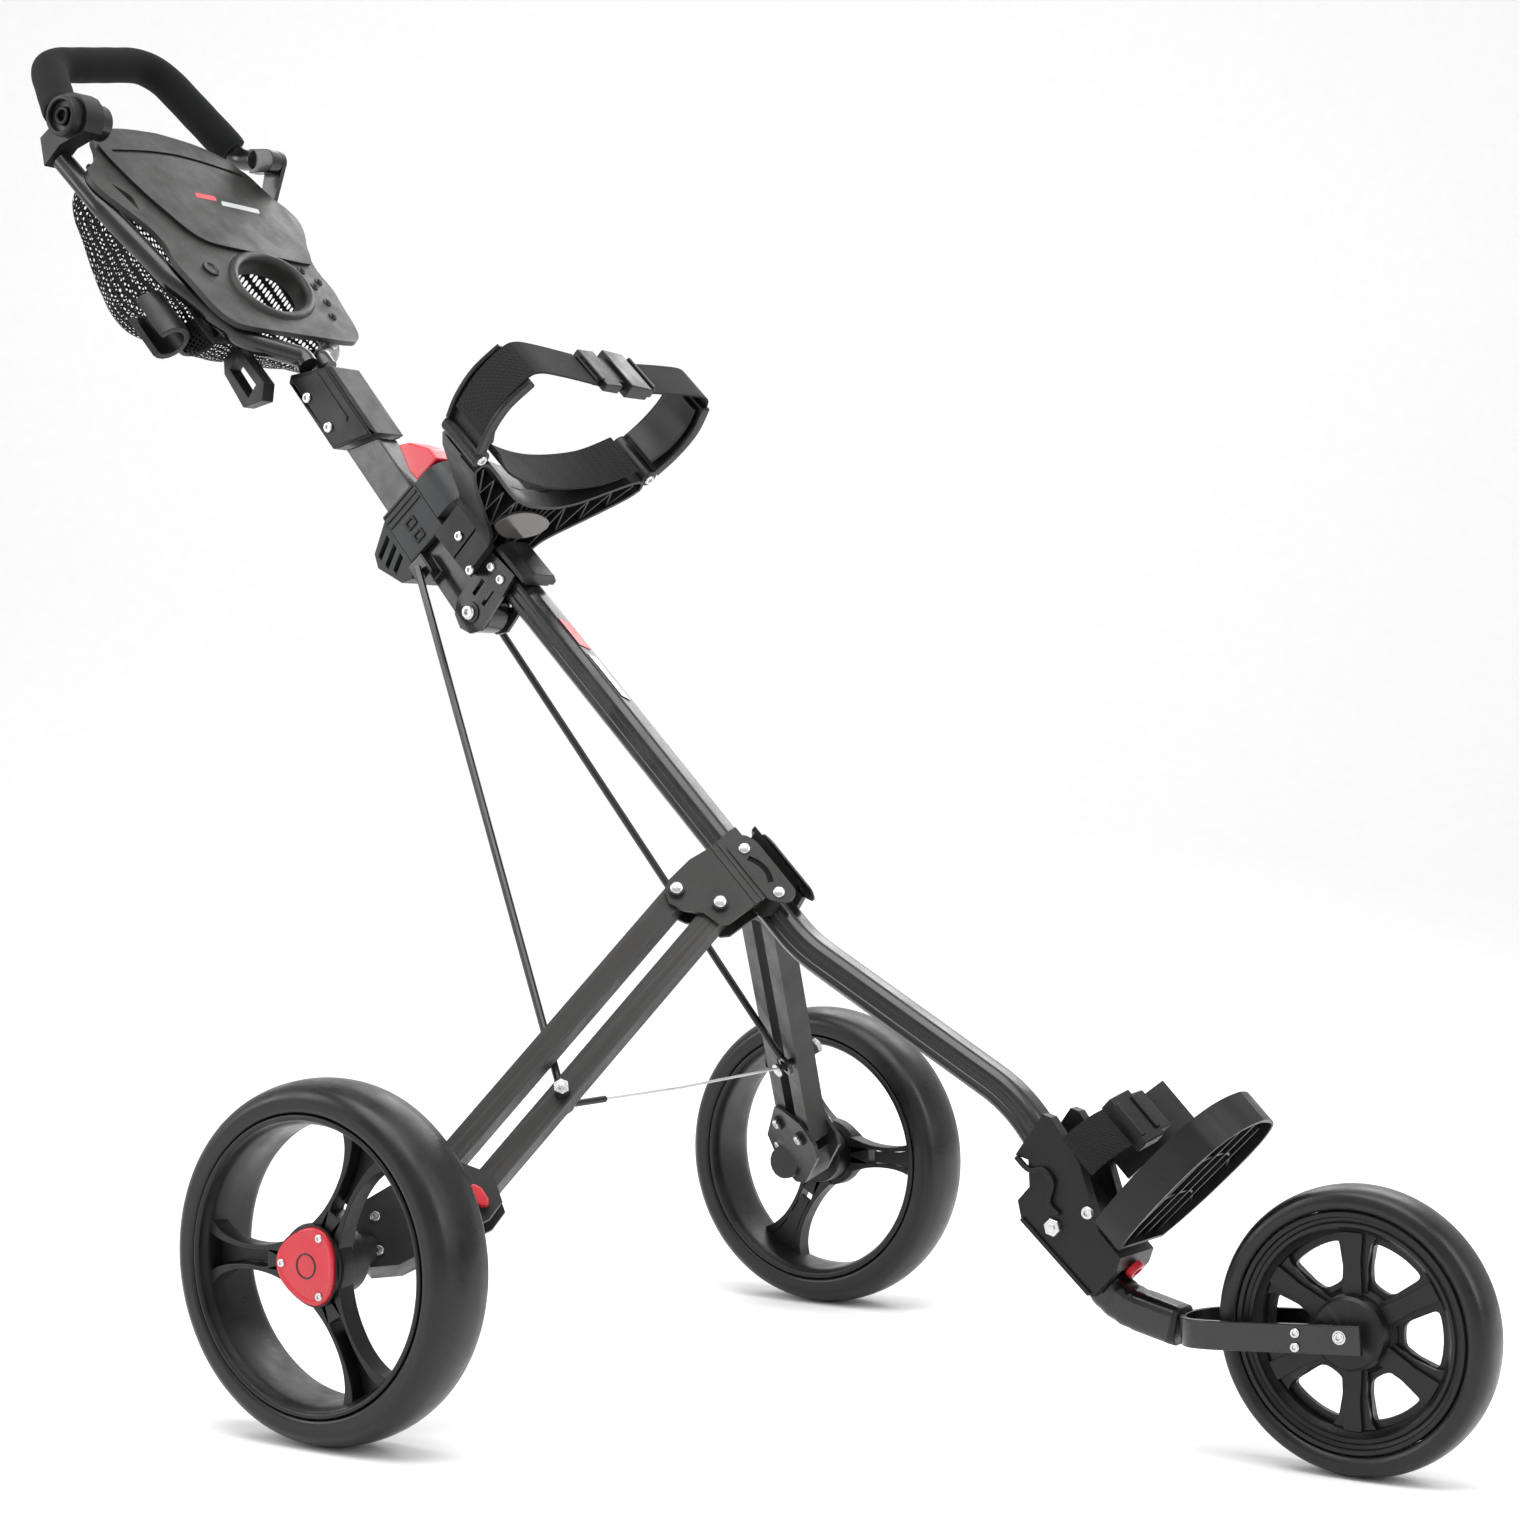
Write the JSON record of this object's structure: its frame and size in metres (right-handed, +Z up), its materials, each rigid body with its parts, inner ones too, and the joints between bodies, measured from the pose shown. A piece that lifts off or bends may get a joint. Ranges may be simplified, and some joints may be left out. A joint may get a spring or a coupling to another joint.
{
  "type": "golf push cart",
  "caption": "Folding three-wheel golf push cart with hinged stem, console with net pouch, strap cradles for a bag, splayed parallel legs and a foam-gripped handle.",
  "frame": {"origin": "on the ground under the middle of the bounding box", "axes": "+X forward to the front wheel, +Y to the cart's left, +Z up"},
  "size_m": [1.3742, 0.7336, 1.1706],
  "materials": {
    "frame_paint": "satin black paint",
    "black_plastic": "fine-grained black nylon",
    "grey_plastic": "mid-grey moulded plastic",
    "panel_plastic": "fine-grained dark grey plastic",
    "tyre_rubber": "smooth solid tyre",
    "red_plastic": "red moulded plastic",
    "steel": "zinc plated",
    "foam": "closed-cell foam",
    "webbing": "woven webbing",
    "net": "open knitted net"
  },
  "bodies": {
    "frame": {"main_tube": "frame_paint", "front_elbow": "frame_paint", "fork": "frame_paint", "front_axle": "steel", "wing_plate_right": "frame_paint", "wing_plate_left": "frame_paint", "lower_bracket": "black_plastic", "lower_tray": "black_plastic", "lower_strap_right": "webbing", "lower_buckle": "black_plastic", "hinge_plate_right": "frame_paint", "hinge_plate_left": "frame_paint", "fold_pin": "steel", "tube_collar": "black_plastic", "cradle_base": "black_plastic", "cradle_liner": "webbing", "spread_cable": "steel"},
    "cradle_right": {"cradle_arm_right": "black_plastic", "arm_pad_right": "grey_plastic", "cradle_strap_right": "webbing", "buckle_plug": "black_plastic"},
    "cradle_left": {"cradle_arm_left": "black_plastic", "arm_pad_left": "grey_plastic", "cradle_strap_left": "webbing", "buckle_socket": "black_plastic"},
    "stem": {"stem": "frame_paint", "stem_clamp": "grey_plastic", "latch_barrel": "grey_plastic", "stem_head": "black_plastic", "console_panel": "panel_plastic", "side_tube_right": "frame_paint", "side_tube_left": "frame_paint", "handle_clamp": "black_plastic", "clamp_knob": "black_plastic", "net_bag": "net", "umbrella_clip": "black_plastic", "strap_hook": "black_plastic"},
    "lid": {"console_lid": "panel_plastic"},
    "release": {"release_tab": "red_plastic"},
    "latch": {"latch_lever": "grey_plastic"},
    "handle": {"handle_bar": "frame_paint", "foam_grip": "foam"},
    "front_wheel": {"front_tyre": "tyre_rubber", "front_rim": "black_plastic"},
    "leg_upper_right": {"leg_upper_right": "frame_paint"},
    "leg_lower_right": {"leg_lower_right": "frame_paint"},
    "carrier_right": {"wheel_carrier_right": "black_plastic"},
    "rod_right": {"stay_rod_right": "frame_paint"},
    "rear_wheel_right": {"rear_tyre_right": "tyre_rubber", "rear_rim_right": "black_plastic", "hub_cap_right": "red_plastic"},
    "leg_upper_left": {"leg_upper_left": "frame_paint"},
    "leg_lower_left": {"leg_lower_left": "frame_paint"},
    "carrier_left": {"wheel_carrier_left": "black_plastic"},
    "rod_left": {"stay_rod_left": "frame_paint"},
    "rear_wheel_left": {"rear_tyre_left": "tyre_rubber", "rear_rim_left": "black_plastic", "hub_cap_left": "red_plastic"},
    "brake": {"brake_lever": "red_plastic"}
  },
  "joints": [
    {"name": "stem_fold", "type": "hinge", "parent": "frame", "child": "stem", "pos_m": [-0.20895, 0, 0.625], "axis": [0, -1, 0], "range_deg": [0, 70], "deforming": ["spread_cable"]},
    {"name": "handle_tilt", "type": "hinge", "parent": "stem", "child": "handle", "pos_m": [-0.56095, 0, 1.062], "axis": [0, 1, 0], "range_deg": [-6, 40]},
    {"name": "lid_open", "type": "hinge", "parent": "stem", "child": "lid", "pos_m": [-0.59035, 0, 1.06945], "axis": [0, -1, 0], "range_deg": [0, 70]},
    {"name": "latch_swing", "type": "hinge", "parent": "stem", "child": "latch", "pos_m": [-0.30875, 0, 0.70288], "axis": [0, 1, 0], "range_deg": [0, 35]},
    {"name": "release_press", "type": "hinge", "parent": "stem", "child": "release", "pos_m": [-0.2737, 0, 0.74192], "axis": [0, -1, 0], "range_deg": [0, 8], "stiffness_Nm_per_rad": 1.2},
    {"name": "cradle_right_open", "type": "hinge", "parent": "frame", "child": "cradle_right", "pos_m": [-0.1354, -0.114, 0.75873], "axis": [0.7071, 0, -0.7071], "range_deg": [0, 12]},
    {"name": "cradle_left_open", "type": "hinge", "parent": "frame", "child": "cradle_left", "pos_m": [-0.1354, 0.114, 0.75873], "axis": [-0.7071, 0, 0.7071], "range_deg": [0, 12]},
    {"name": "leg_upper_right_swing", "type": "hinge", "parent": "frame", "child": "leg_upper_right", "pos_m": [0.02964, -0.05179, 0.39343], "axis": [0.4801, -0.7342, 0.4801], "range_deg": [-0.5, 22]},
    {"name": "leg_lower_right_swing", "type": "hinge", "parent": "frame", "child": "leg_lower_right", "pos_m": [0.06165, -0.03767, 0.38302], "axis": [0.4801, -0.7342, 0.4801], "range_deg": [-0.5, 22]},
    {"name": "carrier_right_turn", "type": "hinge", "parent": "leg_upper_right", "child": "carrier_right", "pos_m": [-0.06033, -0.24904, 0.18176], "axis": [-0.4801, 0.7342, -0.4801], "range_deg": [-0.5, 22]},
    {"name": "rod_right_turn", "type": "hinge", "parent": "leg_lower_right", "child": "rod_right", "pos_m": [-0.00404, -0.1549, 0.23819], "axis": [0.076, -0.0836, -0.9936], "range_deg": [-0.5, 28]},
    {"name": "rear_wheel_right_spin", "type": "hinge", "parent": "carrier_right", "child": "rear_wheel_right", "pos_m": [-0.08095, -0.337, 0.135], "axis": [0, 1, 0], "continuous": true},
    {"name": "leg_upper_left_swing", "type": "hinge", "parent": "frame", "child": "leg_upper_left", "pos_m": [0.02964, 0.05179, 0.39343], "axis": [-0.4801, -0.7342, -0.4801], "range_deg": [-0.5, 22]},
    {"name": "leg_lower_left_swing", "type": "hinge", "parent": "frame", "child": "leg_lower_left", "pos_m": [0.06165, 0.03767, 0.38302], "axis": [-0.4801, -0.7342, -0.4801], "range_deg": [-0.5, 22]},
    {"name": "carrier_left_turn", "type": "hinge", "parent": "leg_upper_left", "child": "carrier_left", "pos_m": [-0.06033, 0.24904, 0.18176], "axis": [0.4801, 0.7342, 0.4801], "range_deg": [-0.5, 22]},
    {"name": "rod_left_turn", "type": "hinge", "parent": "leg_lower_left", "child": "rod_left", "pos_m": [-0.00404, 0.1549, 0.23819], "axis": [-0.076, -0.0836, 0.9936], "range_deg": [-0.5, 28]},
    {"name": "rear_wheel_left_spin", "type": "hinge", "parent": "carrier_left", "child": "rear_wheel_left", "pos_m": [-0.08095, 0.337, 0.135], "axis": [0, 1, 0], "continuous": true},
    {"name": "brake_press", "type": "hinge", "parent": "carrier_right", "child": "brake", "pos_m": [-0.01872, -0.2496, 0.18094], "axis": [0.4801, -0.7342, 0.4801], "range_deg": [0, 20]},
    {"name": "front_wheel_spin", "type": "hinge", "parent": "frame", "child": "front_wheel", "pos_m": [0.58405, 0, 0.103], "axis": [0, 1, 0], "continuous": true}
  ],
  "couplings": [
    {"joint": "leg_upper_right_swing", "follows": "stem_fold", "ratio": 0.285},
    {"joint": "leg_lower_right_swing", "follows": "stem_fold", "ratio": 0.285},
    {"joint": "carrier_right_turn", "follows": "stem_fold", "ratio": 0.285},
    {"joint": "rod_right_turn", "follows": "stem_fold", "ratio": 0.38236},
    {"joint": "leg_upper_left_swing", "follows": "stem_fold", "ratio": 0.285},
    {"joint": "leg_lower_left_swing", "follows": "stem_fold", "ratio": 0.285},
    {"joint": "carrier_left_turn", "follows": "stem_fold", "ratio": 0.285},
    {"joint": "rod_left_turn", "follows": "stem_fold", "ratio": 0.38236}
  ]
}
